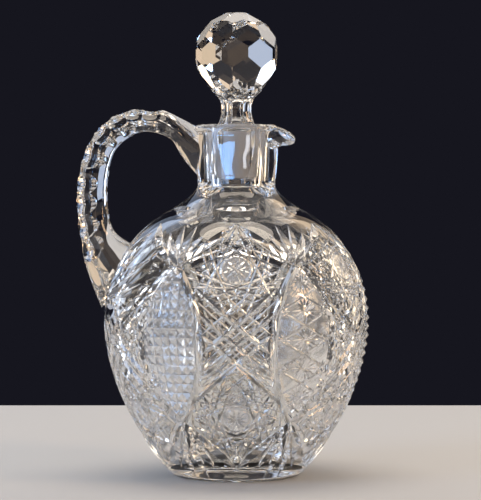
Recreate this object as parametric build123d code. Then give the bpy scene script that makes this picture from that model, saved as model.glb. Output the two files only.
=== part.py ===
from build123d import *
import os
from math import cos, radians, sin

# Cut-crystal liqueur jug with an applied loop handle, a pulled pouring lip and a
# lift-out ball stopper. Millimetres, +Z up, origin at the centre of the resting face.
# The handle stands at -X, the pouring lip at +X.

# Outside of the jug, from the resting face up to the rim
rest_radius = 30.5
foot_radius = 34.5
foot_height = 2.7
belly_radius = 65.7
belly_height = 76.9
shoulder_radius = 35.7
shoulder_height = 130.3
shoulder_slope = 28.8
neck_foot_radius = 19.3
neck_foot_height = 143.8
neck_radius = 20.9
rim_height = 174.2
rim_round = 1.6

# Glass thicknesses
wall = 6.0
floor_thickness = 11.0
floor_corner = 14.0

# Flat flutes round the neck
flute_count = 6
flute_flat_radius = 18.7
flute_top_gap = 5.5
flute_run_out = 11.0
flute_bottom_height = 148.0

# Ground taper shared by the plug and its socket
plug_top_radius = 11.4
plug_bottom_radius = 9.6
plug_length = 25.0
plug_below_rim = 1.6
plug_edge = 0.8
taper_clearance = 0.08
socket_extra_depth = 1.2
mouth_flare = 1.2

# How far above the neck's foot the curved throat ends and the straight bore starts
throat_rise = 1.0

# Pouring lip
lip_overhang = 8.1
lip_top_drop = 0.4
lip_thickness = 9.0
lip_half_width = 8.5
lip_root = 4.0
channel_radius = 4.6
channel_depth = 3.0
channel_fall = 4.0

# Faceted ball and the eight-sided shank under it
ball_facets = 8
ball_radius = 20.6
ball_above_rim = 35.2
ball_turn = -6.5
ball_rings = [(0.0, 0.0, 0.945), (32.0, 0.5, 0.935), (61.0, 0.0, 0.955),
              (-36.0, 0.5, 0.935), (-56.0, 0.0, 0.965)]
ball_crown = 0.965
shank_top_width = 17.2
shank_waist_width = 15.6
shank_foot_width = 17.6
shank_sink = 3.0

# Handle, as stations along its loop: the inner point, the outer point and the half width
# across. The upper ones are measured from the side of the rim, the lower ones from the
# point beside the shoulder that is straight above the widest part of the belly.
handle_upper_stations = [
    ((3.9, -28.2), (3.9, -2.7), 6.0),
    ((-5.7, -16.7), (-6.6, 2.8), 6.8),
    ((-12.1, -6.9), (-15.6, 7.0), 7.2),
    ((-24.0, -3.4), (-25.6, 8.0), 7.4),
    ((-32.9, -6.8), (-39.5, 4.4), 7.6),
    ((-39.8, -14.1), (-50.7, -6.4), 7.8),
]
handle_lower_stations = [
    ((2.1, 17.7), (-12.5, 19.2), 8.0),
    ((2.0, 4.5), (-13.5, 4.2), 8.2),
    ((4.5, -7.8), (-11.7, -11.3), 8.6),
    ((13.2, -14.8), (-8.5, -26.3), 9.6),
    ((27.7, -22.8), (-0.8, -46.3), 10.6),
]
handle_corner = 0.42

# Scallops cut across the outside of the handle
scallop_count = 9
scallop_first_station = 2.15
scallop_last_station = 8.1
scallop_depth = 1.0
scallop_radius = 13.5

# Longer than any cut needs to be
big = 100.0

ball_height = rim_height + ball_above_rim


def upright(edges):
    """Face in the XZ plane from a closed chain of edges drawn as (distance out, height)."""
    return Plane.XZ * make_face(Wire(edges))


def side_curves(foot, belly, shoulder, neck):
    """Three smooth curves from the foot over the belly and shoulder to the neck."""
    rise = belly[1] - foot[1]
    fall = shoulder[1] - belly[1]
    slope = radians(shoulder_slope)
    along = (cos(slope), -sin(slope))
    shoulder_pull = 0.30 * fall
    throat_pull = min(13.5, 0.8 * (shoulder[0] - neck[0]))
    low = [foot,
           (foot[0] + 0.51 * (belly[0] - foot[0]), foot[1] + 0.244 * rise),
           (belly[0], belly[1] - 0.348 * rise),
           belly]
    high = [belly,
            (belly[0], belly[1] + 0.506 * fall),
            (shoulder[0] + shoulder_pull * along[0], shoulder[1] + shoulder_pull * along[1]),
            shoulder]
    throat = [shoulder,
              (shoulder[0] - throat_pull * along[0], shoulder[1] - throat_pull * along[1]),
              (neck[0], neck[1] - 0.17 * (neck[1] - shoulder[1])),
              neck]
    return [Bezier(*curve) for curve in (low, high, throat)]


def spin(edges):
    """Solid of revolution from a closed chain of edges drawn as (radius, height)."""
    return revolve(upright(edges), Axis.Z, 360)


def outer_solid():
    """The jug as one plain solid, before any cutting or hollowing."""
    foot = (foot_radius, foot_height)
    neck = (neck_foot_radius, neck_foot_height)
    rim_start = (neck_radius, rim_height - rim_round)
    rim_end = (neck_radius - rim_round, rim_height)
    edges = [
        Line((0, 0), (rest_radius, 0)),
        Bezier((rest_radius, 0),
               (rest_radius + 0.6 * (foot_radius - rest_radius), 0),
               foot),
        *side_curves(foot, (belly_radius, belly_height),
                     (shoulder_radius, shoulder_height), neck),
        Bezier(neck,
               (neck_foot_radius, neck_foot_height + 6.0),
               (neck_radius, rim_start[1] - 12.0),
               rim_start),
        RadiusArc(rim_start, rim_end, -rim_round),
        Line(rim_end, (0, rim_height)),
        Line((0, rim_height), (0, 0)),
    ]
    return spin(edges)


def plug_radius(z):
    """Radius of the ground taper at a height, from the plug's two end radii."""
    top = rim_height - plug_below_rim
    share = (top - z) / plug_length
    return plug_top_radius + (plug_bottom_radius - plug_top_radius) * share


def hollow():
    """Everything that is empty inside the jug: cavity, throat, ground socket and mouth."""
    slope = radians(shoulder_slope)
    socket_bottom = rim_height - plug_below_rim - plug_length - socket_extra_depth
    bore_radius = plug_radius(socket_bottom) + taper_clearance
    throat_end = (bore_radius, neck_foot_height + throat_rise)
    socket_foot = (bore_radius, socket_bottom)
    socket_head = (plug_radius(rim_height - mouth_flare) + taper_clearance,
                   rim_height - mouth_flare)
    mouth_radius = socket_head[0] + mouth_flare
    corner = (foot_radius - 0.6 * wall, floor_thickness + floor_corner * 0.35)
    shoulder = (shoulder_radius - wall * sin(slope), shoulder_height - wall * cos(slope))
    edges = [
        Line((0, floor_thickness), (corner[0] - floor_corner, floor_thickness)),
        Bezier((corner[0] - floor_corner, floor_thickness),
               (corner[0] - 0.35 * floor_corner, floor_thickness),
               corner),
        *side_curves(corner, (belly_radius - wall, belly_height), shoulder, throat_end),
        Line(throat_end, socket_foot),
        Line(socket_foot, socket_head),
        Line(socket_head, (mouth_radius, rim_height)),
        Line((mouth_radius, rim_height), (mouth_radius, rim_height + 1)),
        Line((mouth_radius, rim_height + 1), (0, rim_height + 1)),
        Line((0, rim_height + 1), (0, floor_thickness)),
    ]
    return spin(edges)


def neck_flutes():
    """Flat cuts down the neck, each sweeping outwards at both ends like a wheel's path."""
    top = rim_height - flute_top_gap
    low_end = (flute_flat_radius + flute_run_out, flute_bottom_height - flute_run_out)
    high_end = (flute_flat_radius + flute_top_gap, rim_height)
    edges = [
        Bezier(low_end,
               (flute_flat_radius, flute_bottom_height - 0.6 * flute_run_out),
               (flute_flat_radius, flute_bottom_height)),
        Line((flute_flat_radius, flute_bottom_height), (flute_flat_radius, top)),
        Bezier((flute_flat_radius, top),
               (flute_flat_radius, top + 0.6 * flute_top_gap),
               high_end),
        Line(high_end, (big, rim_height)),
        Line((big, rim_height), (big, low_end[1])),
        Line((big, low_end[1]), low_end),
    ]
    cutter = extrude(upright(edges), amount=neck_radius, both=True, dir=(0, 1, 0))
    first = 90.0
    step = 360.0 / flute_count
    return [Rot(0, 0, first + step * i) * cutter for i in range(flute_count)]


def lip_beak():
    """The glass pulled out to one side of the rim, before its channel is opened."""
    top = rim_height - lip_top_drop
    start = neck_radius - 6.0
    lip_reach = neck_radius + lip_overhang
    bottom = top - lip_thickness
    side = upright([
        Line((start, top), (lip_reach - 5.0, top)),
        Bezier((lip_reach - 5.0, top),
               (lip_reach - 0.5, top),
               (lip_reach + 0.5, top - 0.55 * lip_thickness),
               (lip_reach - 2.0, top - 0.85 * lip_thickness)),
        Bezier((lip_reach - 2.0, top - 0.85 * lip_thickness),
               (lip_reach - 4.5, top - 1.15 * lip_thickness),
               (neck_radius + 0.5, bottom - 1.0),
               (start, bottom - 12.0)),
        Line((start, bottom - 12.0), (start, top)),
    ])
    slab = extrude(side, amount=2 * lip_half_width, both=True, dir=(0, 1, 0))
    root_width = lip_half_width + 5.0
    outline = make_face(Wire([
        Line((lip_root, -root_width), (lip_root, root_width)),
        Bezier((lip_root, root_width),
               (neck_radius - 2.0, lip_half_width + 3.0),
               (lip_reach, lip_half_width),
               (lip_reach, 0)),
        Bezier((lip_reach, 0),
               (lip_reach, -lip_half_width),
               (neck_radius - 2.0, -lip_half_width - 3.0),
               (lip_root, -root_width)),
    ]))
    plan = Pos(0, 0, rim_height - 2 * lip_thickness - 6.0) * extrude(outline, amount=4 * lip_thickness)
    return slab & plan


def pouring_channel():
    """Round-bottomed groove from the mouth out over the lip."""
    axis_height = rim_height - channel_depth + channel_radius
    rod = Rot(0, 90, 0) * Cylinder(channel_radius, big, align=(Align.CENTER, Align.CENTER, Align.MIN))
    return Pos(plug_top_radius - 2.0, 0, axis_height) * Rot(0, channel_fall, 0) * rod


def jug():
    """Blown jug with its neck flutes, pouring lip, cavity and ground socket."""
    body = outer_solid()
    for cutter in neck_flutes():
        body -= cutter
    body += lip_beak()
    body -= hollow()
    body -= pouring_channel()
    return body


def jug_body():
    """The jug below the neck's foot. The real jug is one piece of glass."""
    return split(jug(), bisect_by=Plane(origin=(0, 0, neck_foot_height)), keep=Keep.BOTTOM)


def neck():
    """The jug above the neck's foot, a plain tube whose collision pieces keep it open."""
    return split(jug(), bisect_by=Plane(origin=(0, 0, neck_foot_height)), keep=Keep.TOP)


def handle_section(inner, outer, half_width):
    """Eight-sided section of the handle that stands on the line from inner to outer."""
    start = Vector(inner[0], 0, inner[1])
    end = Vector(outer[0], 0, outer[1])
    middle = (start + end) * 0.5
    out = (end - start).normalized()
    half = (end - start).length / 2
    across = Vector(0, 1, 0)
    cut = handle_corner
    corners = [(1, 1 - cut), (1 - cut, 1), (-1 + cut, 1), (-1, 1 - cut),
               (-1, -1 + cut), (-1 + cut, -1), (1 - cut, -1), (1, -1 + cut)]
    points = [middle + out * (half * a) + across * (half_width * b) for a, b in corners]
    return make_face(Polyline(*points, close=True))


def placed(stations, origin):
    """Handle stations moved from their own starting point to their place on the jug."""
    def shift(point):
        return (origin[0] + point[0], origin[1] + point[1])

    return [(shift(inner), shift(outer), half_width) for inner, outer, half_width in stations]


def handle_stations():
    """All the handle's stations, from the neck to the shoulder."""
    return (placed(handle_upper_stations, (-neck_radius, rim_height))
            + placed(handle_lower_stations, (-belly_radius, shoulder_height)))


def station_at(share):
    """Inner point, outer point and half width between two handle stations."""
    stations = handle_stations()
    index = min(int(share), len(stations) - 2)
    part = share - index
    first = stations[index]
    second = stations[index + 1]

    def between(a, b):
        return a + (b - a) * part

    inner = tuple(between(a, b) for a, b in zip(first[0], second[0]))
    outer = tuple(between(a, b) for a, b in zip(first[1], second[1]))
    return inner, outer, between(first[2], second[2])


def scallop_cutters():
    """Short rollers laid across the outside of the handle, one for each scallop."""
    cutters = []
    span = scallop_last_station - scallop_first_station
    for i in range(scallop_count):
        share = scallop_first_station + span * i / (scallop_count - 1)
        inner, outer, half_width = station_at(share)
        reach = ((outer[0] - inner[0]) ** 2 + (outer[1] - inner[1]) ** 2) ** 0.5
        grow = (reach + scallop_radius - scallop_depth) / reach
        x = inner[0] + (outer[0] - inner[0]) * grow
        z = inner[1] + (outer[1] - inner[1]) * grow
        roller = Rot(90, 0, 0) * Cylinder(scallop_radius, 4 * half_width)
        cutters.append(Pos(x, 0, z) * roller)
    return cutters


def handle():
    """Applied loop handle, cut back to the jug's outer skin at the neck and shoulder."""
    sections = [handle_section(*station) for station in handle_stations()]
    loop = loft(sections)
    for cutter in scallop_cutters():
        loop -= cutter
    loop -= outer_solid()
    pieces = sorted(loop.solids(), key=lambda piece: piece.volume)
    return pieces[-1]


def faceted_ball():
    """Ball cut with rings of flat facets round its axis."""
    ball = Box(3 * ball_radius, 3 * ball_radius, 3 * ball_radius)
    step = 360.0 / ball_facets
    planes = [((0, 0, 1), ball_crown)]
    for elevation, shift, depth in ball_rings:
        for i in range(ball_facets):
            turn = radians(-90 + ball_turn + step * (i + shift))
            rise = radians(elevation)
            planes.append(((cos(rise) * cos(turn), cos(rise) * sin(turn), sin(rise)), depth))
    planes.append(((0, 0, -1), 1.0))
    for normal, depth in planes:
        point = tuple(c * ball_radius * depth for c in normal)
        ball = split(ball, bisect_by=Plane(origin=point, z_dir=normal), keep=Keep.BOTTOM)
    return Pos(0, 0, ball_height) * ball


def shank():
    """Eight-sided shank, hollowed slightly between the ball and the plug."""
    top = ball_height - ball_radius + shank_sink
    foot = rim_height - plug_below_rim
    middle = (top + foot) / 2
    widths = [shank_top_width / 2, shank_waist_width / 2, shank_foot_width / 2]
    right = ThreePointArc((widths[2], foot), (widths[1], middle), (widths[0], top))
    left = ThreePointArc((-widths[0], top), (-widths[1], middle), (-widths[2], foot))
    outline = upright([
        right,
        Line((widths[0], top), (-widths[0], top)),
        left,
        Line((-widths[2], foot), (widths[2], foot)),
    ])
    slab = extrude(outline, amount=belly_radius, both=True, dir=(0, 1, 0))
    step = 360.0 / ball_facets
    post = Rot(0, 0, ball_turn) * slab
    for i in range(1, ball_facets // 2):
        post &= Rot(0, 0, ball_turn + step * i) * slab
    return post


def plug():
    """Ground taper that seats in the neck, with its two edges eased."""
    top = rim_height - plug_below_rim
    bottom = top - plug_length
    edges = [
        Line((0, bottom), (plug_bottom_radius - plug_edge, bottom)),
        Line((plug_bottom_radius - plug_edge, bottom),
             (plug_radius(bottom + plug_edge), bottom + plug_edge)),
        Line((plug_radius(bottom + plug_edge), bottom + plug_edge),
             (plug_radius(top - plug_edge), top - plug_edge)),
        Line((plug_radius(top - plug_edge), top - plug_edge),
             (plug_top_radius - plug_edge, top)),
        Line((plug_top_radius - plug_edge, top), (0, top)),
        Line((0, top), (0, bottom)),
    ]
    return spin(edges)


def stopper():
    """One piece of glass: faceted ball, shank and ground plug."""
    return faceted_ball() + shank() + plug()


os.makedirs("parts", exist_ok=True)
nodes = {"jug_body": jug_body(), "neck": neck(), "handle": handle(), "stopper": stopper()}
for name, shape in nodes.items():
    export_step(shape, f"parts/{name}.step")
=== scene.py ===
import bmesh
import bpy
from math import atan2, ceil, cos, degrees, hypot, pi, radians, sin, sqrt
from mathutils import Euler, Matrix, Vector


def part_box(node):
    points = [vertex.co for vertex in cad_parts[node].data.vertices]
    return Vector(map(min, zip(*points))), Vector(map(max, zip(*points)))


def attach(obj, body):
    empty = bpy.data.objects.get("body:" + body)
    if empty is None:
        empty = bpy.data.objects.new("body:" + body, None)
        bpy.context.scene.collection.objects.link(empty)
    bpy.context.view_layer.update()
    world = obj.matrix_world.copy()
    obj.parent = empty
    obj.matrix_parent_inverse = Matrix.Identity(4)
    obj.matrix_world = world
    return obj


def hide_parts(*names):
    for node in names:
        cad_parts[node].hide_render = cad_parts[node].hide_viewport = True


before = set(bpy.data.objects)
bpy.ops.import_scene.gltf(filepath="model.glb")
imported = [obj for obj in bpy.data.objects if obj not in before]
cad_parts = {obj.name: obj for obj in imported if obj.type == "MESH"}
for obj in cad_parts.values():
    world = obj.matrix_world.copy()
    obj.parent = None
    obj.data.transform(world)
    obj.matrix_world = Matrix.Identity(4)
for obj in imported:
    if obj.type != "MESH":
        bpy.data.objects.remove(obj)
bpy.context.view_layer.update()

# All shapes are worked out in millimetres and become metres when a mesh is made.
MM = 0.001


def cad_mm(node):
    """Lowest and highest corner of a CAD node, in millimetres."""
    return [[c / MM for c in corner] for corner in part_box(node)]


neck_low, neck_high = cad_mm("neck")
body_high = cad_mm("jug_body")[1]
stopper_low = cad_mm("stopper")[0]

# Outside of the jug
rim_height = neck_high[2]
belly_radius = body_high[0]
belly_height = 76.9
rest_radius = 28.5
foot_radius = 37.4
foot_height = 7.0
foot_curve_flat = 3.6
foot_curve_in = 3.0
foot_curve_down = 3.4
shoulder_radius = 35.7
shoulder_height = 130.3
shoulder_slope = 28.8
neck_foot_radius = 19.3
neck_foot_height = neck_low[2]
neck_radius = 20.9
rim_round = 2.4

# Pulls of the side's curves: shares of their height or width, and throat_pull in millimetres
foot_lean = 0.51
foot_rise = 0.244
belly_pull_below = 0.348
belly_pull_above = 0.506
shoulder_pull = 0.30
throat_pull = 13.5
throat_pull_limit = 0.8
neck_pull = 0.17

# Inside of the jug
wall = 6.0
floor_thickness = 11.0
floor_corner = 14.0
floor_corner_radius = 30.9
mouth_flare = 1.2
cutter_overshoot = 2.0

# Fineness of the turned shapes: segments round, and steps along each curve of the side
jug_segments = 200
hollow_segments = 112
plug_segments = 128
jug_side_steps = 26
hollow_side_steps = 22

# Ground taper
plug_bottom = stopper_low[2]
plug_length = 25.0
plug_top = plug_bottom + plug_length
plug_top_radius = 11.4
plug_bottom_radius = 9.6
plug_edge = 0.8
taper_clearance = 0.08
socket_extra_depth = 1.2
throat_rise = 1.0

# Neck flutes
flute_count = 6
flute_flat_radius = 18.7
flute_top_gap = 5.5
flute_run_out = 11.0
flute_bottom_height = 148.0
flute_cutter_reach = 60.0

# Stopper ball and shank
ball_facets = 8
ball_radius = 20.6
ball_height = rim_height + 35.2
ball_turn = -6.5
ball_rings = [(0.0, 0.0, 0.945), (32.0, 0.5, 0.935), (61.0, 0.0, 0.955),
              (-31.0, 0.5, 0.945), (-47.0, 0.0, 1.045)]
ball_crown = 0.965
shank_widths = [18.8, 15.6, 14.3, 16.4, 24.5]
shank_sink = 3.0
shank_flute_depth = 0.6
shank_steps = 6

# Handle stations, as inner point, outer point and half width across, measured as in the
# CAD from the side of the rim and from the point beside the shoulder above the belly
handle_upper_stations = [
    ((3.9, -28.2), (3.9, -2.7), 6.0),
    ((-5.7, -16.7), (-6.6, 2.8), 6.8),
    ((-12.1, -6.9), (-15.6, 7.0), 7.2),
    ((-24.0, -3.4), (-25.6, 8.0), 7.4),
    ((-32.9, -6.8), (-39.5, 4.4), 7.6),
    ((-39.8, -14.1), (-50.7, -6.4), 7.8),
]
handle_lower_stations = [
    ((2.1, 17.7), (-12.5, 19.2), 8.0),
    ((2.0, 4.5), (-13.5, 4.2), 8.2),
    ((4.5, -7.8), (-11.7, -11.3), 8.6),
    ((13.2, -14.8), (-8.5, -26.3), 9.6),
    ((27.7, -22.8), (-0.8, -46.3), 10.6),
]
handle_rings_per_station = 8

# Corners of the handle's section, as shares outwards and across: a narrow scalloped face
# outside, a ridge along each side and a wider rounded inside
handle_corners = [(1.0, 0.36), (0.12, 1.0), (-1.0, 0.5), (-1.0, -0.5), (0.12, -1.0),
                  (1.0, -0.36)]
handle_round_until = 2.2
handle_round_from = 8.0
handle_end_roundness = 0.6
handle_end_rib = 0.06
handle_inside_roundness = 0.9

# Scallops along the outside of the handle
scallop_count = 9
scallop_first_station = 2.15
scallop_last_station = 8.1
scallop_depth = 1.0
scallop_radius = 13.5
side_scallop_depth = 1.5

# Stations of the pulled lip, as distance from the axis, height over the rim, half height and
# half width, and the channel cut along it
lip_stations = [[14.0, -9.0, 8.6, 11.5],
                [18.5, -6.6, 6.4, 10.2],
                [22.0, -5.9, 4.9, 8.9],
                [25.3, -6.4, 4.0, 7.1],
                [27.6, -7.0, 2.8, 4.9],
                [28.7, -7.4, 1.6, 3.0],
                [29.1, -7.5, 0.5, 0.9]]
channel_radius = 4.8
channel_depth = 3.2
channel_fall = 0.18

# Cut pattern: six panels between six pointed ovals
panel_count = 6
panel_step = 360.0 / panel_count
panel_top = 125.9
panel_bottom = 8.0
oval_top = 107.0
oval_bottom = 30.3
oval_half_angle = 14.0
oval_fullness = 2.6
oval_middle = (oval_top + oval_bottom) / 2
oval_half_height = (oval_top - oval_bottom) / 2
side_mitre_depth = 1.6
top_mitre_depth = 1.9
foot_mitre_depth = 2.1
mitre_slope = 1.2
cut_slope = 0.9
nailhead_pitch = 4.5
nailhead_depth = 1.2
nailhead_slope = 1.85
nailhead_side_columns = 3
nailhead_foot_gap = 6.0
nailhead_top_gap = 4.0
nailhead_end_gap = 2.0

# Height over the skin at which a cut starts and ends
cut_end_rise = 0.02

# Hobstars of a panel: rays on a button inside a ring, and crossing cuts as distance and depth
upper_star_height = 104.8
lower_star_height = 32.9
lower_star_share = 0.92
button_radius = 7.4
star_ring_radius = 7.2
star_rays = 12
star_ray_length = 6.6
star_crossings = [(8.9, 0.85), (12.8, 0.65)]
star_crossing_reach = 21.0

# Small stars round a hobstar, on both sides as sideways, upwards and size, and one in line
small_star_rays = 8
small_star_depth = 0.85
small_star_slope = 0.75
upper_small_stars = [(15.5, 0.0, 3.6), (12.5, -10.5, 3.2), (7.5, 11.0, 3.0)]
lower_small_stars = [(14.5, 0.5, 3.4), (12.5, 8.0, 3.0), (8.0, -10.5, 3.0)]
upper_middle_star = -13.5
lower_middle_star = 13.0
middle_star_size = 4.2

# Leaf cut on the shoulder, over each panel's top point
shoulder_leaf_height = 132.8
shoulder_leaf_half = 11.0

# Stars down an oval's middle and on both sides of it, and the crossing cuts between them
oval_star_heights = (98.5, 85.0, 71.2, 57.4, 43.6)
oval_crossing_heights = (91.8, 78.1, 64.3, 50.5, 37.5)
oval_star_size = 7.8
side_star_size = 4.4
side_star_gap = 11.0

# Blades of the fans, as angle from straight up and length
upper_fan_rise = 2.5
upper_fan_outer = [(-68, 15.5), (68, 15.5)]
upper_fan_inner = [(-42, 17.0), (-14, 19.0), (14, 19.0), (42, 17.0)]
lower_fan_drop = 2.0
lower_fan_outer = [(128, 21.0), (232, 21.0)]
lower_fan_inner = [(150, 28.0), (169, 31.0), (191, 31.0), (210, 28.0)]

# Star under the base
base_star_rays = 24
base_star_depth = 0.9
base_star_margin = 3.5

# Lattice between the hobstars: where its cuts cross the panel's middle, depth and slope
lattice_top = 96.3
lattice_foot = 41.5
lattice_rise = 0.84
lattice_reach = 30.0
lattice = [(78.8, 1.35, 1.1), (73.8, 0.5, 0.8), (68.8, 1.35, 1.1), (64.5, 0.5, 0.8),
           (60.3, 1.35, 1.1), (88.0, 0.7, 0.9), (51.0, 0.7, 0.9)]

# Side where the handle stands, and the height from which its foot takes the pattern's place
handle_side = -90.0
foot_oval_height = 104.0
foot_oval_half_turn = 46.0
foot_oval_half_height = 24.0
foot_ray_height = 87.0
foot_ray_start = 7.0
foot_ray_angles = [16, 29, 42, 54, 66, 78, 92]

# Reach of the silvery and the ground finish, from an oval's edge, the skin and the taper
bloom_end_margin = 3.0
bloom_side_margin = 2.2
bloom_depth = 1.6
grind_reach = 0.4

# Placing of the camera, from the photograph's frame
photo_width = 481
photo_height = 500
photo_axis_x = 236.5
photo_horizon_y = 170.0
photo_focal = 2400.0
camera_distance = 1.190
camera_height = 0.1517

# One factor on all the lights
light_level = 0.88

# Floor, whose back edge shows where the photograph's table ends
floor_half_width = 0.7
floor_front = -0.9
floor_back = 0.353


def between(first, last, share):
    """Place that lies a share of the way from one to another."""
    return tuple(a + (b - a) * share for a, b in zip(first, last))


def bezier(points, count):
    """Points along a cubic curve, without its last point."""
    out = []
    for i in range(count):
        t = i / count
        u = 1 - t
        weights = (u * u * u, 3 * u * u * t, 3 * u * t * t, t * t * t)
        out.append(tuple(sum(w * p[k] for w, p in zip(weights, points)) for k in range(2)))
    return out


def side_curves(foot, belly, shoulder, neck, count):
    """The foot, belly, shoulder and throat of a profile as points (radius, height)."""
    rise = belly[1] - foot[1]
    fall = shoulder[1] - belly[1]
    slope = radians(shoulder_slope)
    along = (cos(slope), -sin(slope))
    before = shoulder_pull * fall
    after = min(throat_pull, throat_pull_limit * (shoulder[0] - neck[0]))
    low = [foot,
           (foot[0] + foot_lean * (belly[0] - foot[0]), foot[1] + foot_rise * rise),
           (belly[0], belly[1] - belly_pull_below * rise),
           belly]
    high = [belly,
            (belly[0], belly[1] + belly_pull_above * fall),
            (shoulder[0] + before * along[0], shoulder[1] + before * along[1]),
            shoulder]
    throat = [shoulder,
              (shoulder[0] - after * along[0], shoulder[1] - after * along[1]),
              (neck[0], neck[1] - neck_pull * (neck[1] - shoulder[1])),
              neck]
    return bezier(low, count) + bezier(high, count) + bezier(throat, count // 2)


def outer_profile():
    """The jug's outside, from the middle of the base up to the middle of the rim."""
    foot = (foot_radius, foot_height)
    neck = (neck_foot_radius, neck_foot_height)
    rim_start = (neck_radius, rim_height - rim_round)
    points = [(0.0, 0.0)]
    points += bezier([(rest_radius, 0.0), (rest_radius + foot_curve_flat, 0.0),
                      (foot_radius - foot_curve_in, foot_height - foot_curve_down), foot], 10)
    points += side_curves(foot, (belly_radius, belly_height),
                          (shoulder_radius, shoulder_height), neck, jug_side_steps)
    points += bezier([neck, (neck_foot_radius, neck_foot_height + 6.0),
                      (neck_radius, rim_start[1] - 12.0), rim_start], 12)
    for i in range(7):
        turn = radians(90 * i / 6)
        points.append((neck_radius - rim_round + rim_round * cos(turn),
                       rim_height - rim_round + rim_round * sin(turn)))
    points.append((0.0, rim_height))
    return points


def plug_radius(z):
    """Radius of the ground taper at a height."""
    share = (plug_top - z) / plug_length
    return plug_top_radius + (plug_bottom_radius - plug_top_radius) * share


def hollow_profile():
    """The cavity, throat, socket and mouth, from the floor up to above the rim."""
    slope = radians(shoulder_slope)
    socket_bottom = plug_bottom - socket_extra_depth
    bore_radius = plug_radius(socket_bottom) + taper_clearance
    throat_end = (bore_radius, neck_foot_height + throat_rise)
    socket_foot = (bore_radius, socket_bottom)
    head_height = rim_height - mouth_flare
    socket_head = (plug_radius(head_height) + taper_clearance, head_height)
    mouth_radius = socket_head[0] + mouth_flare
    corner_rise = 0.35 * floor_corner
    corner = (floor_corner_radius, floor_thickness + corner_rise)
    shoulder = (shoulder_radius - wall * sin(slope), shoulder_height - wall * cos(slope))
    inner = corner[0] - floor_corner
    bend = (corner[0] - corner_rise, floor_thickness)
    points = [(0.0, floor_thickness)]
    points += bezier([(inner, floor_thickness), bend, bend, corner], 8)
    points += side_curves(corner, (belly_radius - wall, belly_height), shoulder, throat_end,
                          hollow_side_steps)
    over_rim = rim_height + cutter_overshoot
    points += [throat_end, socket_foot, socket_head]
    points += [(mouth_radius, rim_height), (mouth_radius, over_rim), (0.0, over_rim)]
    return points


skin = outer_profile()


def skin_at(z):
    """Radius and outward slope (radial part, upward part) of the uncut skin at a height."""
    for (r0, z0), (r1, z1) in zip(skin[1:], skin[2:]):
        if z0 <= z <= z1 and z1 > z0:
            part = (z - z0) / (z1 - z0)
            length = hypot(r1 - r0, z1 - z0)
            return r0 + (r1 - r0) * part, (z1 - z0) / length, -(r1 - r0) / length
    return skin[-2][0], 1.0, 0.0


def skin_point(place):
    """Point and outward normal on the skin at (degrees round from the front, height)."""
    turn, z = place
    r, out, up = skin_at(z)
    a = radians(turn)
    across = Vector((sin(a), -cos(a), 0.0))
    return across * r + Vector((0, 0, z)), across * out + Vector((0, 0, up))


def nearby(place, u, v):
    """Place on the skin that lies u millimetres round and v millimetres up from another."""
    turn, z = place
    r, out, _ = skin_at(z)
    return turn + degrees(u / r), z + v * out


def toward(place, angle, distance):
    """Place on the skin at a distance in a direction, in degrees from straight up."""
    a = radians(angle)
    return nearby(place, distance * sin(a), distance * cos(a))


def new_object(name, data):
    """Object in the scene made of a mesh, a light or a camera."""
    thing = bpy.data.objects.new(name, data)
    bpy.context.scene.collection.objects.link(thing)
    return thing


def new_mesh(name, points, faces):
    """Mesh object made of points in millimetres, at the origin."""
    mesh = bpy.data.meshes.new(name)
    mesh.from_pydata([(x * MM, y * MM, z * MM) for x, y, z in points], [], faces)
    mesh.validate()
    return new_object(name, mesh)


def circle(count):
    """Cosine and sine of even turns, once round."""
    turns = [2 * pi * i / count for i in range(count)]
    return [(cos(a), sin(a)) for a in turns]


def side_faces(rings, count):
    """Faces between rings that follow each other, each with the same number of points."""
    faces = []
    for k in range(rings - 1):
        for i in range(count):
            j = (i + 1) % count
            faces.append((k * count + i, k * count + j, (k + 1) * count + j, (k + 1) * count + i))
    return faces


def turned(name, profile, segments):
    """Closed surface of revolution from points (radius, height), bottom pole first."""
    rings = profile[1:-1]
    points = [(r * x, r * y, z) for r, z in rings for x, y in circle(segments)]
    faces = side_faces(len(rings), segments)
    bottom = len(points)
    last = bottom - segments
    points += [(0.0, 0.0, profile[0][1]), (0.0, 0.0, profile[-1][1])]
    for i in range(segments):
        j = (i + 1) % segments
        faces.append((bottom, j, i))
        faces.append((bottom + 1, last + i, last + j))
    return new_mesh(name, points, faces)


def stacked(name, sections):
    """Closed solid skinned over sections with equal numbers of points."""
    count = len(sections[0])
    points = [tuple(p) for section in sections for p in section]
    faces = side_faces(len(sections), count)
    faces.append(tuple(reversed(range(count))))
    faces.append(tuple(range(len(points) - count, len(points))))
    return solid_mesh(name, points, faces)


def solid_mesh(name, points, faces):
    """Mesh object of closed solids, with their normals turned outwards."""
    thing = new_mesh(name, points, faces)
    work = bmesh.new()
    work.from_mesh(thing.data)
    bmesh.ops.recalc_face_normals(work, faces=work.faces)
    work.to_mesh(thing.data)
    work.free()
    return thing


def round_handle(place, margin=1.0):
    """Whether a place lies in the plain oval round the handle's foot."""
    turn = (place[0] - handle_side + 180) % 360 - 180
    across = turn / (foot_oval_half_turn * margin)
    up = (place[1] - foot_oval_height) / (foot_oval_half_height * margin)
    return across * across + up * up < 1


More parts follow.
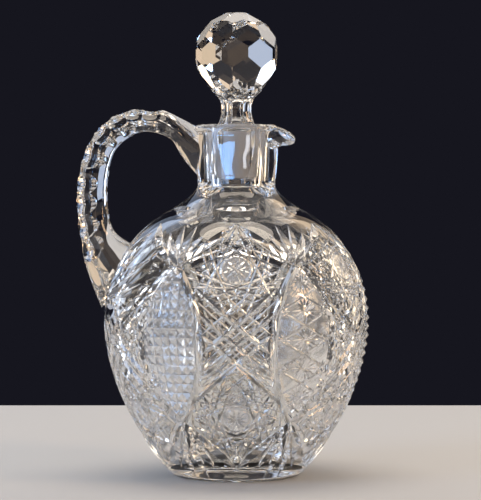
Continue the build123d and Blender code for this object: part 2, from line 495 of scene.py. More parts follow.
class Cuts:
    """Collects the paths of the cutting wheel as three-sided closed solids."""

    def __init__(self):
        self.points = []
        self.faces = []
        self.guarded = True

    def path(self, places, depths, slope, above=0.7):
        """Cut along places on the skin, leaving out what lies round the handle's foot."""
        runs = [[]]
        for place, depth in zip(places, depths):
            if self.guarded and round_handle(place):
                runs.append([])
            else:
                runs[-1].append((*skin_point(place), depth))
        for run in runs:
            if len(run) > 2:
                self.groove(run, slope, above)

    def groove(self, spots, slope, above):
        """One groove along points, each with its normal and depth; slope widens it."""
        start = len(self.points)
        for i, (spot, normal, depth) in enumerate(spots):
            before = spots[max(i - 1, 0)][0]
            after = spots[min(i + 1, len(spots) - 1)][0]
            side = normal.cross(after - before).normalized()
            half = slope * (depth + above)
            self.points.append(spot - normal * depth)
            self.points.append(spot + normal * above + side * half)
            self.points.append(spot + normal * above - side * half)
        for i in range(len(spots) - 1):
            a = start + 3 * i
            b = a + 3
            for k in range(3):
                m = (k + 1) % 3
                self.faces.append((a + k, b + k, b + m, a + m))
        end = start + 3 * (len(spots) - 1)
        self.faces.append((start, start + 1, start + 2))
        self.faces.append((end + 2, end + 1, end))

    def line(self, first, last, depth, slope, taper=0.16, step=4.0):
        """Straight cut of even depth whose ends run out over a share of its length."""
        length = (skin_point(last)[0] - skin_point(first)[0]).length
        count = max(4, ceil(length / step))
        shares = [i / count for i in range(count + 1)]
        shares = sorted(set(shares + [taper / 2, taper, 1 - taper, 1 - taper / 2]))
        depths = []
        for t in shares:
            run = min(1.0, min(t, 1 - t) / taper)
            depths.append(depth * sqrt(run * (2 - run)) - cut_end_rise)
        self.path([between(first, last, t) for t in shares], depths, slope)

    def leaf(self, first, last, depth, slope, count=8, lean=1.0):
        """Leaf-shaped cut, deepest near its middle; lean under 1 moves that towards first."""
        shares = [i / count for i in range(count + 1)]
        depths = [depth * sin(pi * t ** lean) - cut_end_rise for t in shares]
        self.path([between(first, last, t) for t in shares], depths, slope)

    def star(self, centre, rays, length, depth, slope, turn=0.0):
        """Rays running out from a centre, deepest near it."""
        for i in range(rays):
            angle = 90 - turn - 360 * i / rays
            back = toward(centre, angle, -0.12 * length)
            self.leaf(back, toward(centre, angle, length), depth, slope, count=6, lean=0.8)

    def ring(self, centre, radius, depth, slope):
        """Round groove, cut as two halves that overlap a little."""
        for start in (0, 180):
            angles = [94 - start - 188 * i / 20 for i in range(21)]
            places = [toward(centre, angle, radius) for angle in angles]
            self.path(places, [depth] * len(places), slope)

    def fan(self, base, blades, depth, slope):
        """Leaf blades spreading from one point."""
        for angle, length in blades:
            self.leaf(base, toward(base, angle, length), depth, slope, lean=0.9)

    def solid(self, name):
        """All the cuts as one mesh object."""
        return solid_mesh(name, self.points, self.faces)


def oval_half(z):
    """Half width of a pointed oval at a height, in degrees."""
    t = min(1.0, abs(z - oval_middle) / oval_half_height)
    return oval_half_angle * (1 - t ** oval_fullness)


def panel_half(z):
    """Half width of a panel at a height, in degrees, measured to its bounding mitres."""
    half = panel_step / 2
    if z > oval_top:
        return half * (panel_top - z) / (panel_top - oval_top)
    if z < oval_bottom:
        return half * (z - panel_bottom) / (oval_bottom - panel_bottom)
    return half - oval_half(z)


def inside_panel(centre, first, last, margin=1.2):
    """The part of a straight line that lies inside a panel, as its two ends."""
    count = 80
    kept = []
    for i in range(count + 1):
        place = between(first, last, i / count)
        room = radians(panel_half(place[1]) - abs(place[0] - centre)) * skin_at(place[1])[0]
        if room > margin:
            kept.append(place)
    return (kept[0], kept[-1]) if len(kept) > 12 else None


def mitre_depth(z):
    """The long mitres are cut deepest at the foot of the jug, and next at its shoulder."""
    end_depth = top_mitre_depth if z > oval_middle else foot_mitre_depth
    share = min(1.0, abs(z - oval_middle) / oval_half_height)
    return side_mitre_depth + (end_depth - side_mitre_depth) * share


def cut_mitre(cuts, centre, hand):
    """Long mitre from a panel's top point, round an oval's far side, to its bottom point."""
    half = panel_step / 2
    places = [between((0.0, panel_top), (half, oval_top), i / 4) for i in range(4)]
    steps = 24
    for i in range(steps + 1):
        z = oval_top + (oval_bottom - oval_top) * i / steps
        places.append((half + oval_half(z), z))
    places += [between((half, oval_bottom), (0.0, panel_bottom), i / 4) for i in range(1, 5)]
    depths = [mitre_depth(z) for _, z in places]
    depths[0] = depths[-1] = 0.1
    cuts.path([(centre + hand * turn, z) for turn, z in places], depths, mitre_slope, above=0.9)


def cut_hobstar(cuts, panel, centre, size):
    """Rosette on a raised button, ringed by a groove and by crossing cuts."""
    cuts.ring(centre, star_ring_radius * size, depth=0.9, slope=cut_slope)
    cuts.star(centre, star_rays, star_ray_length * size, depth=0.95, slope=0.7,
              turn=180 / star_rays)
    reach = star_crossing_reach * size
    for distance, depth in star_crossings:
        out = distance * size
        for i in range(8):
            a = radians(22.5 + 45.0 * i)
            first, last = [nearby(centre, out * cos(a) + way * sin(a), out * sin(a) - way * cos(a))
                           for way in (reach, -reach)]
            ends = inside_panel(panel, first, last)
            if ends:
                cuts.line(*ends, depth, cut_slope)


def cut_small_star(cuts, centre, size):
    """Plain star between the crossing cuts."""
    cuts.star(centre, small_star_rays, size, small_star_depth, small_star_slope)


def cut_panel(cuts, centre):
    """Hobstars above and below, with a lattice of long crossing cuts between them."""
    upper = (centre, upper_star_height)
    lower = (centre, lower_star_height)
    cut_hobstar(cuts, centre, upper, 1.0)
    cut_hobstar(cuts, centre, lower, lower_star_share)
    for side in (-1, 1):
        for star, small_stars in ((upper, upper_small_stars), (lower, lower_small_stars)):
            for along, up, size in small_stars:
                cut_small_star(cuts, nearby(star, side * along, up), size)
        for crossing, depth, slope in lattice:
            middle = (centre, crossing)
            first, last = [(nearby(middle, -side * way, 0)[0], crossing + way * lattice_rise)
                           for way in (lattice_reach, -lattice_reach)]
            ends = inside_panel(centre, first, last)
            ends = ends and within_heights(*ends)
            if ends:
                cuts.line(*ends, depth, slope)
    for star, up in ((upper, upper_middle_star), (lower, lower_middle_star)):
        cut_small_star(cuts, nearby(star, 0, up), middle_star_size)
    for height in (lattice_top, lattice_foot):
        half = panel_half(height) - 2.0
        cuts.line((centre - half, height), (centre + half, height), depth=0.7, slope=cut_slope)
    first, last = [nearby((centre, shoulder_leaf_height), way, 0)
                   for way in (-shoulder_leaf_half, shoulder_leaf_half)]
    cuts.leaf(first, last, depth=0.9, slope=2.6)


def within_heights(first, last):
    """The part of a line between the lattice's lowest and highest heights."""
    ends = []
    for here, there in ((first, last), (last, first)):
        z = min(max(here[1], lattice_foot), lattice_top)
        share = (z - here[1]) / (there[1] - here[1])
        ends.append((between(here, there, share)[0], z))
    return ends if abs(ends[0][1] - ends[1][1]) > 8.0 else None


def cut_nailhead_oval(cuts, centre):
    """Two crossing sets of even cuts that leave rows of small pyramids."""
    z = oval_bottom + nailhead_foot_gap
    while z < oval_top - nailhead_top_gap:
        half = oval_half(z) - 1.4
        if half > 1.5:
            cuts.line((centre - half, z), (centre + half, z), nailhead_depth, nailhead_slope,
                      taper=0.05)
        z += nailhead_pitch
    for i in range(-nailhead_side_columns, nailhead_side_columns + 1):
        shift = i * degrees(nailhead_pitch / belly_radius)
        reach = oval_half_height * (1 - (abs(shift) + 1.0) / oval_half_angle) ** (1 / oval_fullness)
        reach -= nailhead_end_gap
        cuts.line((centre + shift, oval_middle - reach), (centre + shift, oval_middle + reach),
                  nailhead_depth, nailhead_slope, taper=0.04)


def cut_star_oval(cuts, centre):
    """A column of many-rayed stars with crossing cuts between them."""
    for z in oval_star_heights:
        room = radians(oval_half(z)) * skin_at(z)[0] - 1.5
        cuts.star((centre, z), 16, min(oval_star_size, room), depth=1.0, slope=0.7)
        for side in (-1, 1):
            if room > side_star_gap:
                place = nearby((centre, z), side * side_star_gap, 0)
                cuts.star(place, 12, side_star_size, depth=0.8, slope=0.6)
    for z in oval_crossing_heights:
        reach = radians(oval_half(z)) * skin_at(z)[0] - 1.0
        for side in (-1, 1):
            cuts.line(nearby((centre, z), -side * reach, 0.55 * reach),
                      nearby((centre, z), side * reach, -0.55 * reach),
                      depth=0.7, slope=cut_slope)


def cut_fans(cuts, fine, centre):
    """A fan of silvery leaf blades above an oval and a longer clear one below it."""
    base = (centre, oval_top + upper_fan_rise)
    fine.fan(base, upper_fan_outer, depth=1.3, slope=2.0)
    fine.fan(base, upper_fan_inner, depth=1.25, slope=1.7)
    base = (centre, oval_bottom - lower_fan_drop)
    cuts.fan(base, lower_fan_outer, depth=1.6, slope=2.2)
    cuts.fan(base, lower_fan_inner, depth=1.4, slope=1.8)


def cut_handle_side(cuts):
    """Long leaf cuts that spread from the tip of the handle's foot over the shoulder."""
    start = (handle_side, foot_ray_height)
    for side in (-1, 1):
        for angle in foot_ray_angles:
            length = foot_ray_start + 1.0
            while round_handle(toward(start, side * angle, length), margin=0.97):
                length += 0.5
            first = toward(start, side * angle, foot_ray_start)
            last = toward(start, side * angle, length)
            cuts.leaf(first, last, depth=1.3, slope=2.0, count=14, lean=1.25)


def body_cuts():
    """The whole cut pattern of the jug's body: the bold clear cuts, then the fine silvery ones."""
    cuts = Cuts()
    fine = Cuts()
    for i in range(panel_count):
        centre = panel_step * i
        cut_panel(cuts, centre)
        for hand in (-1, 1):
            cut_mitre(cuts, centre, hand)
        oval = centre + panel_step / 2
        if i % 2:
            cut_nailhead_oval(fine, oval)
        else:
            cut_star_oval(cuts, oval)
        cut_fans(cuts, fine, oval)
    cuts.guarded = False
    cut_handle_side(cuts)
    return cuts.solid("body_cuts"), fine.solid("fine_cuts")


def base_star():
    """Star cut into the underside: long rays from the middle of the resting face."""
    cuts = Cuts()
    down = Vector((0, 0, -1))
    reach = rest_radius - base_star_margin
    for i in range(base_star_rays):
        a = 2 * pi * i / base_star_rays
        along = Vector((cos(a), sin(a), 0))
        spots = [(along * reach * out, down, base_star_depth * deep)
                 for out, deep in ((-0.02, 0.5), (0.3, 1.0), (0.7, 0.8), (1.0, -0.03))]
        cuts.groove(spots, slope=1.6, above=0.4)
    return cuts.solid("base_star")


def flute_cutter():
    """One flat cut down the neck that sweeps outwards at both ends, on the +X side."""
    flat = flute_flat_radius
    gap = flute_top_gap
    top = rim_height - gap
    low = flute_bottom_height
    sweep = flute_run_out
    outline = bezier([(flat + sweep, low - sweep), (flat, low - 0.6 * sweep),
                      (flat, low - 0.4 * sweep), (flat, low)], 14)
    outline += [(flat, low), (flat, top - 0.5)]
    outline += bezier([(flat, top), (flat, top + 0.3 * gap), (flat, top + 0.6 * gap),
                       (flat + gap, rim_height)], 10)
    outline += [(flat + gap, rim_height), (flute_cutter_reach, rim_height),
                (flute_cutter_reach, low - sweep)]
    sections = [[(r, y, z) for r, z in outline] for y in (-neck_radius, neck_radius)]
    return stacked("flute_cutter", sections)


def spline(stations, per_step):
    """Smooth curve through lists of numbers, as lists of numbers."""
    out = []
    last = len(stations) - 1
    for k in range(last):
        p0 = stations[max(k - 1, 0)]
        p1 = stations[k]
        p2 = stations[k + 1]
        p3 = stations[min(k + 2, last)]
        for i in range(per_step):
            t = i / per_step
            row = []
            for a, b, c, d in zip(p0, p1, p2, p3):
                row.append(0.5 * (2 * b + (c - a) * t + (2 * a - 5 * b + 4 * c - d) * t * t
                                  + (3 * b - a - 3 * c + d) * t ** 3))
            out.append(row)
    out.append(list(stations[last]))
    return out


def handle_stations():
    """Inner point, outer point and half width of every station, as flat rows."""
    rows = []
    upper = (-neck_radius, rim_height)
    lower = (-belly_radius, shoulder_height)
    for stations, origin in ((handle_upper_stations, upper), (handle_lower_stations, lower)):
        for inner, outer, half_width in stations:
            rows.append([origin[0] + inner[0], origin[1] + inner[1],
                         origin[0] + outer[0], origin[1] + outer[1], half_width])
    return rows


def handle_section(share):
    """Outline of the handle, outwards and across: flats outside at 0, rounded and faintly
    ribbed at 1, as at its ends."""
    outline = []
    roundness = handle_end_roundness * share
    for first, last in zip(handle_corners, handle_corners[1:] + handle_corners[:1]):
        for i in range(6):
            a, b = between(first, last, i / 6)
            own = roundness if a > handle_corners[1][0] else max(roundness, handle_inside_roundness)
            rib = handle_end_rib * share * cos(2 * pi * (i - 3) / 6)
            scale = 1 - own + own / hypot(a, b) - rib
            outline.append((a * scale, b * scale))
    return outline


def handle_solid():
    """The applied handle before its scallops are cut: rounded at both ends, with flats between."""
    sections = []
    rows = spline(handle_stations(), handle_rings_per_station)
    for i, (xi, zi, xo, zo, half_width) in enumerate(rows):
        middle = Vector(((xi + xo) / 2, 0, (zi + zo) / 2))
        out = Vector(((xo - xi) / 2, 0, (zo - zi) / 2))
        station = i / handle_rings_per_station
        share = max(0.0, 1 - (station / handle_round_until) ** 2,
                    min(1.0, (station - handle_round_from) / 1.5))
        sections.append([middle + out * a + Vector((0, half_width * b, 0))
                         for a, b in handle_section(share)])
    return stacked("handle_solid", sections)


def scallop_points():
    """Middle points of the balls that cut the scallops: one row outside, two beside it."""
    span = scallop_last_station - scallop_first_station
    fine = spline(handle_stations(), 40)
    (high_out, high_across), (low_out, low_across) = handle_corners[:2]
    points = []
    for shift, lean in ((0.0, 0.0), (0.5, 1.0), (0.5, -1.0)):
        for i in range(scallop_count):
            share = scallop_first_station + span * (i + shift) / (scallop_count - 1)
            xi, zi, xo, zo, half_width = fine[min(round(share * 40), len(fine) - 1)]
            middle = Vector(((xi + xo) / 2, 0, (zi + zo) / 2))
            out = Vector(((xo - xi) / 2, 0, (zo - zi) / 2))
            half = out.length
            spot = middle + out
            away = out.normalized()
            depth = scallop_depth
            if lean:
                across = Vector((0, lean, 0))
                spot = (middle + out * (high_out + low_out) / 2
                        + across * half_width * (high_across + low_across) / 2)
                away = (away * half_width * (low_across - high_across)
                        + across * half * (high_out - low_out)).normalized()
                depth = side_scallop_depth
            points.append(tuple(spot + away * (scallop_radius - depth)))
    return new_mesh("scallop_points", points, [])


def lip_beak():
    """Glass pulled out to one side of the rim, drawn down to a rounded tip."""
    sections = [[(x, half_width * across, rim_height + z + half_height * up)
                 for across, up in circle(64)]
                for x, z, half_height, half_width in spline(lip_stations, 4)]
    return stacked("lip_beak", sections)


def channel_cutter():
    """Round-bottomed groove from the mouth out over the lip."""
    radius = channel_radius
    sections = []
    for x in (plug_top_radius - 3.0, 34.0):
        middle = rim_height - channel_depth + radius - channel_fall * (x - plug_top_radius)
        sections.append([(x, radius * across, middle + radius * up) for across, up in circle(40)])
    return stacked("channel_cutter", sections)


def stopper_profile():
    """The ground plug, from its lower end to its upper edge."""
    return [(0.0, plug_bottom),
            (plug_bottom_radius - plug_edge, plug_bottom),
            (plug_radius(plug_bottom + plug_edge), plug_bottom + plug_edge),
            (plug_radius(plug_top - plug_edge), plug_top - plug_edge),
            (plug_top_radius - plug_edge, plug_top),
            (0.0, plug_top)]


def shank_solid():
    """Shank with eight shallow flutes, drawn in slightly between the ball and the plug."""
    top = ball_height - ball_radius + shank_sink
    foot = plug_top - 0.5
    sections = []
    widths = [row[0] for row in spline([[width] for width in shank_widths], 5)]
    count = len(widths) - 1
    for i in range(count + 1):
        z = foot + (top - foot) * i / count
        half = widths[i] / 2
        corner = half / cos(pi / ball_facets)
        ring = []
        for k in range(ball_facets * shank_steps):
            share = (k % shank_steps) / shank_steps
            a = radians(ball_turn) + 2 * pi / ball_facets * (k / shank_steps + 0.5)
            inward = shank_flute_depth * 4 * share * (1 - share)
            flat = half / cos(2 * pi / ball_facets * (share - 0.5))
            r = min(flat, corner) - inward
            ring.append((r * cos(a), r * sin(a), z))
        sections.append(ring)
    return stacked("shank_solid", sections)


def ball_solid():
    """Ball cut with rings of flat facets."""
    work = bmesh.new()
    bmesh.ops.create_cube(work, size=3 * ball_radius * MM)
    step = 360.0 / ball_facets
    planes = [((0, 0, 1), ball_crown), ((0, 0, -1), 1.0)]
    for elevation, shift, depth in ball_rings:
        for i in range(ball_facets):
            turn = radians(-90 + ball_turn + step * (i + shift))
            rise = radians(elevation)
            planes.append(((cos(rise) * cos(turn), cos(rise) * sin(turn), sin(rise)), depth))
    for normal, depth in planes:
        geometry = work.verts[:] + work.edges[:] + work.faces[:]
        place = Vector(normal) * ball_radius * depth * MM
        cut = bmesh.ops.bisect_plane(work, geom=geometry, dist=1e-7, plane_co=place,
                                     plane_no=normal, clear_outer=True)
        edges = [e for e in cut["geom_cut"] if isinstance(e, bmesh.types.BMEdge)]
        bmesh.ops.edgeloop_fill(work, edges=edges)
    bmesh.ops.translate(work, verts=work.verts, vec=(0, 0, ball_height * MM))
    bmesh.ops.recalc_face_normals(work, faces=work.faces)
    mesh = bpy.data.meshes.new("ball_solid")
    work.to_mesh(mesh)
    work.free()
    return new_object("ball_solid", mesh)


def add(tree, kind, links=None, values=None, **settings):
    """Add a node with its settings, input values and incoming links; a node as the source of a
    link stands for its first output."""
    node = tree.nodes.new(kind)
    for key, value in settings.items():
        setattr(node, key, value)
    for key, value in (values or {}).items():
        node.inputs[key].default_value = value
    for key, sources in (links or {}).items():
        for source in sources if isinstance(sources, list) else [sources]:
            socket = source.outputs[0] if isinstance(source, bpy.types.Node) else source
            tree.links.new(socket, node.inputs[key])
    return node


def new_tree(name, shape_names, numbers):
    """Geometry Nodes tree with named inputs; also gives the inputs' identifiers, their sockets
    inside the tree, and the geometry of each shape."""
    tree = bpy.data.node_groups.new(name, "GeometryNodeTree")
    kinds = dict.fromkeys(shape_names, "NodeSocketObject")
    keys = {}
    for label, kind in {"Geometry": "NodeSocketGeometry", **kinds, **numbers}.items():
        socket = tree.interface.new_socket(label, in_out="INPUT", socket_type=kind)
        keys[label] = socket.identifier
    tree.interface.new_socket("Geometry", in_out="OUTPUT", socket_type="NodeSocketGeometry")
    source = add(tree, "NodeGroupInput").outputs
    shapes = {}
    for shape in shape_names:
        info = add(tree, "GeometryNodeObjectInfo", links={"Object": source[shape]})
        shapes[shape] = info.outputs["Geometry"]
    return tree, keys, source, shapes


def apart(tree, geometry):
    """Each loose part of a mesh as an instance of its own."""
    island = add(tree, "GeometryNodeInputMeshIsland")
    return add(tree, "GeometryNodeSplitToInstances", domain="FACE",
               links={0: geometry, "Group ID": island})


# Settings of the solid booleans
subtract = {"operation": "DIFFERENCE", "solver": "MANIFOLD"}
unite = {"operation": "UNION", "solver": "MANIFOLD"}


def end_tree(tree, solid, material, marked=()):
    """Make the solid real and give it its materials: one for all, and others for marked faces."""
    real = add(tree, "GeometryNodeRealizeInstances", links={0: solid})
    finish = add(tree, "GeometryNodeSetMaterial", links={0: real}, values={"Material": material})
    for mark, own in marked:
        faces = add(tree, "GeometryNodeInputNamedAttribute", data_type="BOOLEAN",
                    values={"Name": mark})
        finish = add(tree, "GeometryNodeSetMaterial", links={0: finish, "Selection": faces},
                     values={"Material": own})
    add(tree, "NodeGroupOutput", links={0: finish})


def jug_tree(material, cut, fine_cut):
    """Geometry Nodes that cut, join and hollow the jug."""
    tree, keys, source, shapes = new_tree(
        "wheel_cutting",
        ["Body cuts", "Fine cuts", "Base star", "Flute", "Handle", "Scallop points", "Lip",
         "Channel", "Hollow"],
        {"Flutes": "NodeSocketInt", "Scallop radius": "NodeSocketFloat"})
    step = add(tree, "ShaderNodeMath", operation="DIVIDE", values={0: 2 * pi},
               links={1: source["Flutes"]})
    ring = add(tree, "GeometryNodePoints", links={"Count": source["Flutes"]})
    index = add(tree, "GeometryNodeInputIndex")
    turn = add(tree, "ShaderNodeMath", operation="MULTIPLY_ADD", values={2: pi / 2},
               links={0: index, 1: step})
    spin = add(tree, "ShaderNodeCombineXYZ", links={"Z": turn})
    flutes = add(tree, "GeometryNodeInstanceOnPoints",
                 links={"Points": ring, "Instance": shapes["Flute"], "Rotation": spin})
    cutters = [flutes]
    for name, mark in (("Body cuts", "wheel_cut"), ("Fine cuts", "fine_cut")):
        marked = add(tree, "GeometryNodeStoreNamedAttribute", data_type="BOOLEAN", domain="FACE",
                     links={"Geometry": shapes[name]}, values={"Name": mark, "Value": True})
        cutters.append(apart(tree, marked))
    cutters.append(apart(tree, shapes["Base star"]))
    body = source["Geometry"]
    for cutter in cutters:
        body = add(tree, "GeometryNodeMeshBoolean", **subtract,
                   links={"Mesh 1": body, "Mesh 2": cutter})
    ball = add(tree, "GeometryNodeMeshUVSphere", values={"Segments": 96, "Rings": 48},
               links={"Radius": source["Scallop radius"]})
    balls = add(tree, "GeometryNodeInstanceOnPoints",
                links={"Points": shapes["Scallop points"], "Instance": ball})
    handle = add(tree, "GeometryNodeMeshBoolean", **subtract,
                 links={"Mesh 1": shapes["Handle"], "Mesh 2": balls})
    whole = add(tree, "GeometryNodeMeshBoolean", **unite,
                links={"Mesh 2": [body, handle, shapes["Lip"]]})
    hollowed = add(tree, "GeometryNodeMeshBoolean", **subtract,
                   links={"Mesh 1": whole, "Mesh 2": [shapes["Hollow"], shapes["Channel"]]})
    end_tree(tree, hollowed, material, [("wheel_cut", cut), ("fine_cut", fine_cut)])
    return tree, keys


def stopper_tree(material):
    """Geometry Nodes that join the ball, shank and plug."""
    tree, keys, source, shapes = new_tree("stopper_joining", ["Shank", "Plug"], {})
    whole = add(tree, "GeometryNodeMeshBoolean", **unite,
                links={"Mesh 2": [source["Geometry"], shapes["Shank"], shapes["Plug"]]})
    end_tree(tree, whole, material)
    return tree, keys


def finished(name, base, tree, keys, inputs, sharp):
    """Run a node tree on a base object and keep the result as a plain mesh piece."""
    modifier = base.modifiers.new(tree.name, "NODES")
    modifier.node_group = tree
    for key, value in inputs.items():
        modifier[keys[key]] = value
    graph = bpy.context.evaluated_depsgraph_get()
    mesh = bpy.data.meshes.new_from_object(base.evaluated_get(graph))
    base.modifiers.clear()
    mesh.name = name
    mesh.shade_smooth()
    mesh.set_sharp_from_angle(angle=radians(sharp))
    for thing in [base] + [v for v in inputs.values() if isinstance(v, bpy.types.Object)]:
        bpy.data.objects.remove(thing)
    return new_object(name, mesh)


def bloom(piece, material):
    """Give what lies near the skin in the ovals and on the buttons the fine cuts' silvery finish."""
    number = list(piece.data.materials).index(material)
    for face in piece.data.polygons:
        x, y, z = (c / MM for c in face.center)
        if not panel_bottom < z < panel_top:
            continue
        r, out, _ = skin_at(z)
        place = (degrees(atan2(x, -y)), z)
        from_panel = abs((place[0] + panel_step / 2) % panel_step - panel_step / 2)
        from_oval = panel_step / 2 - from_panel
        across = radians(from_panel) * r
        in_oval = (abs(z - oval_middle) < oval_half_height - bloom_end_margin
                   and from_oval < oval_half(z) - bloom_side_margin)
        up = min(abs(z - upper_star_height), abs(z - lower_star_height)) / out
        on_button = hypot(across, up) < button_radius
        shallow = hypot(x, y) > r - bloom_depth
        if (in_oval or on_button) and shallow and not round_handle(place, margin=1.03):
            face.material_index = number


def grind(piece, material, low, high):
    """Give the faces that follow the taper between two heights a ground finish."""
    piece.data.materials.append(material)
    number = len(piece.data.materials) - 1
    for face in piece.data.polygons:
        x, y, z = (c / MM for c in face.center)
        near = abs(hypot(x, y) - plug_radius(z)) < grind_reach
        if low < z < high and near and abs(face.normal.z) < 0.5:
            face.material_index = number


def colour(code):
    """Linear colour from an sRGB hex code."""
    out = []
    for i in (0, 2, 4):
        c = int(code[i:i + 2], 16) / 255
        out.append(c / 12.92 if c <= 0.04045 else ((c + 0.055) / 1.055) ** 2.4)
    return (*out, 1.0)


def new_material(name):
    """Empty material and its node tree."""
    material = bpy.data.materials.new(name)
    material.use_nodes = True
    material.node_tree.nodes.clear()
    return material, material.node_tree


def crystal(name, code, roughness, clearness, grain, detail, strength, height):
    """Lead crystal with an uneven surface, whose grain and height are in millimetres."""
    material, tree = new_material(name)
    where = add(tree, "ShaderNodeTexCoord")
    wave = add(tree, "ShaderNodeTexNoise", links={"Vector": where.outputs["Object"]},
               values={"Scale": 1 / (grain * MM), "Detail": detail})
    bump = add(tree, "ShaderNodeBump", links={"Height": wave},
               values={"Strength": strength, "Distance": height * MM})
    glass = add(tree, "ShaderNodeBsdfPrincipled", links={"Normal": bump},
                values={"Base Color": colour(code), "Roughness": roughness, "IOR": 1.545,
                        "Transmission Weight": clearness})
    add(tree, "ShaderNodeOutputMaterial", links={"Surface": glass})
    return material


def polished_crystal():
    """Lead crystal, acid polished after cutting: clear, bright, with a faint waviness."""
    return crystal("lead_crystal_polished", "FDFDFB", 0.0, 1.0,
                   grain=14.0, detail=1.0, strength=0.05, height=0.4)


def cut_crystal(name, roughness, clearness):
    """Wheel cuts after acid polishing: the bold ones are clear but softer than the blown skin, and
    the fine ones, with the skin left in the ovals and on the buttons, are silvery."""
    return crystal(name, "FDFDFB", roughness, clearness,
                   grain=3.0, detail=1.0, strength=0.08, height=0.2)


def ground_crystal(name, roughness, clearness):
    """The taper as ground with fine grit: matt, greyish white, it scatters what is behind; the
    socket is ground more finely than the plug and shows it through. The grit's marks are too
    fine to show, so they are drawn coarser."""
    return crystal(name, "FCFDFF", roughness, clearness,
                   grain=0.6, detail=2.0, strength=0.15, height=0.1)


def floor_material():
    """Plain paper: light warm grey and matt, with next to no gloss."""
    material, tree = new_material("floor_paper")
    matt = add(tree, "ShaderNodeBsdfPrincipled",
               values={"Base Color": colour("B4B2AF"), "Roughness": 0.9,
                       "Specular IOR Level": 0.2})
    add(tree, "ShaderNodeOutputMaterial", links={"Surface": matt})
    return material


def make_floor():
    """The flat sheet that the jug stands on."""
    half, front, back = floor_half_width, floor_front, floor_back
    mesh = bpy.data.meshes.new("floor")
    mesh.from_pydata([(-half, front, 0), (half, front, 0), (half, back, 0), (-half, back, 0)],
                     [], [(0, 1, 2, 3)])
    mesh.materials.append(floor_material())
    floor = new_object("floor", mesh)


def make_world():
    """Dark plain backdrop for what is seen directly, in the glass or through it, and a soft pale
    fill for the rest."""
    world = bpy.data.worlds.new("studio")
    bpy.context.scene.world = world
    world.use_nodes = True
    tree = world.node_tree
    tree.nodes.clear()
    path = add(tree, "ShaderNodeLightPath").outputs
    seen = path["Is Camera Ray"]
    for ray in ("Is Glossy Ray", "Is Transmission Ray"):
        seen = add(tree, "ShaderNodeMath", operation="MAXIMUM", links={0: seen, 1: path[ray]})
    shade = add(tree, "ShaderNodeMix", data_type="RGBA", links={"Factor": seen},
                values={6: colour("C8CCD2"), 7: colour("16161E")})
    back = add(tree, "ShaderNodeBackground", links={"Color": shade.outputs[2]})
    add(tree, "ShaderNodeOutputWorld", links={"Surface": back})


def softbox(name, place, size, radiance, code, target=(0, 0, 0.1), shape="RECTANGLE"):
    """Flat studio light; its power follows from its size and surface brightness."""
    light = bpy.data.lights.new(name, "AREA")
    light.shape = shape
    light.size, light.size_y = size
    light.energy = light_level * radiance * size[0] * size[1] * pi
    light.color = colour(code)[:3]
    thing = new_object(name, light)
    thing.location = place
    thing.rotation_euler = (Vector(target) - Vector(place)).to_track_quat("-Z", "Y").to_euler()
    thing.visible_camera = False


def make_lights():
    """A cool window of four panes on the left, a warm lamp on the right, soft light from above,
    behind and the room, and in front a small window that the neck's front flute mirrors."""
    for up in (0.22, 0.72):
        for along in (-0.95, -0.55):
            softbox("window_left", (-1.15, along, up), (0.30, 0.42), 7.0, "A9CCFF")
    softbox("lamp_right", (1.05, -0.55, 0.62), (0.32, 0.55), 11.0, "FFD3A4")
    softbox("overhead", (0.0, 0.05, 1.2), (0.9, 0.56), 4.3, "FFF1E0", shape="ELLIPSE")
    softbox("back_left", (-0.95, 0.7, 0.45), (0.25, 0.9), 3.6, "E4EEFF")
    softbox("back_right", (0.95, 0.7, 0.45), (0.25, 0.9), 3.6, "FFE9CC")
    softbox("behind_left", (-0.50, 0.80, 0.50), (0.34, 0.90), 0.8, "D2E2FF")
    softbox("behind_right", (0.50, 0.80, 0.50), (0.34, 0.90), 0.8, "FFE4C4")
    softbox("behind_high", (0.0, 0.75, 1.00), (0.9, 0.40), 1.3, "FFF0E0")
    softbox("room", (0.0, -2.3, 1.0), (2.6, 1.5), 0.95, "FFE2C4")
    softbox("window_pane", (-0.017, -1.62, 0.166), (0.021, 0.038), 19.0, "7DB8FF",
            target=(-0.017, 0, 0.166))
    softbox("window_edge", (0.008, -1.62, 0.174), (0.003, 0.040), 13.0, "F2F6FF",
            target=(0.008, 0, 0.174))


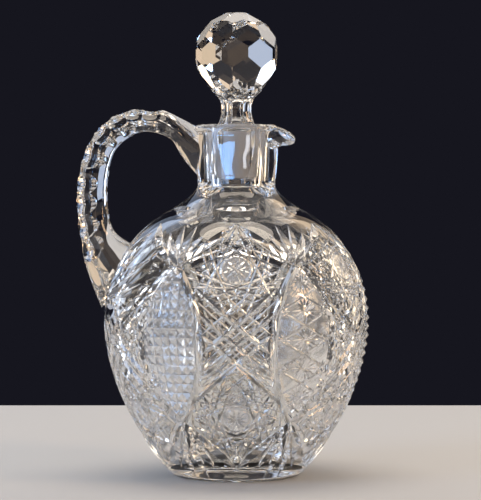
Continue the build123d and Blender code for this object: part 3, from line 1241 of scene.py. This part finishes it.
def make_camera():
    """Camera at the photograph's place: almost level, a little above the neck's foot."""
    scale = photo_focal / camera_distance
    side = (photo_width / 2 - photo_axis_x) / scale
    pitch = atan2(photo_height / 2 - photo_horizon_y, photo_focal)
    data = bpy.data.cameras.new("camera")
    data.sensor_fit = "VERTICAL"
    data.sensor_height = 24.0
    data.lens = photo_focal / photo_height * data.sensor_height
    camera = new_object("camera", data)
    camera.location = (side, -camera_distance, camera_height)
    camera.rotation_euler = Euler((pi / 2 - pitch, 0, 0))
    bpy.context.scene.camera = camera


def make_jug(polished, cut, fine_cut, ground):
    """The cut jug with its handle, which are fused in the real piece as well."""
    base = turned("jug_blank", skin, jug_segments)
    tree, keys = jug_tree(polished, cut, fine_cut)
    bold, fine = body_cuts()
    inputs = {"Body cuts": bold, "Fine cuts": fine, "Base star": base_star(),
              "Flute": flute_cutter(), "Flutes": flute_count,
              "Handle": handle_solid(), "Scallop points": scallop_points(),
              "Scallop radius": scallop_radius * MM,
              "Lip": lip_beak(), "Channel": channel_cutter(),
              "Hollow": turned("hollow", hollow_profile(), hollow_segments)}
    jug = finished("jug_with_handle", base, tree, keys, inputs, 13)
    bloom(jug, fine_cut)
    grind(jug, ground, plug_bottom - socket_extra_depth, rim_height - mouth_flare)
    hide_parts("jug_body", "neck", "handle")
    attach(jug, "jug")


def make_stopper(polished, ground):
    """Faceted ball, shank and ground plug in one piece."""
    base = ball_solid()
    tree, keys = stopper_tree(polished)
    inputs = {"Shank": shank_solid(), "Plug": turned("plug", stopper_profile(), plug_segments)}
    stopper = finished("ball_stopper", base, tree, keys, inputs, 12)
    grind(stopper, ground, plug_bottom + plug_edge, plug_top - plug_edge)
    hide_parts("stopper")
    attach(stopper, "stopper")


scene = bpy.context.scene
scene.view_settings.view_transform = "Standard"
scene.cycles.max_bounces = 24
scene.cycles.transmission_bounces = 24
scene.cycles.glossy_bounces = 12
scene.cycles.caustics_refractive = True

make_camera()
make_world()
make_lights()
make_floor()
polished = polished_crystal()
cut = cut_crystal("lead_crystal_cut", 0.06, 0.94)
fine_cut = cut_crystal("lead_crystal_fine_cut", 0.11, 0.85)
plug_ground = ground_crystal("lead_crystal_plug_ground", 0.3, 0.52)
socket_ground = ground_crystal("lead_crystal_socket_ground", 0.09, 0.88)
make_jug(polished, cut, fine_cut, socket_ground)
make_stopper(polished, plug_ground)
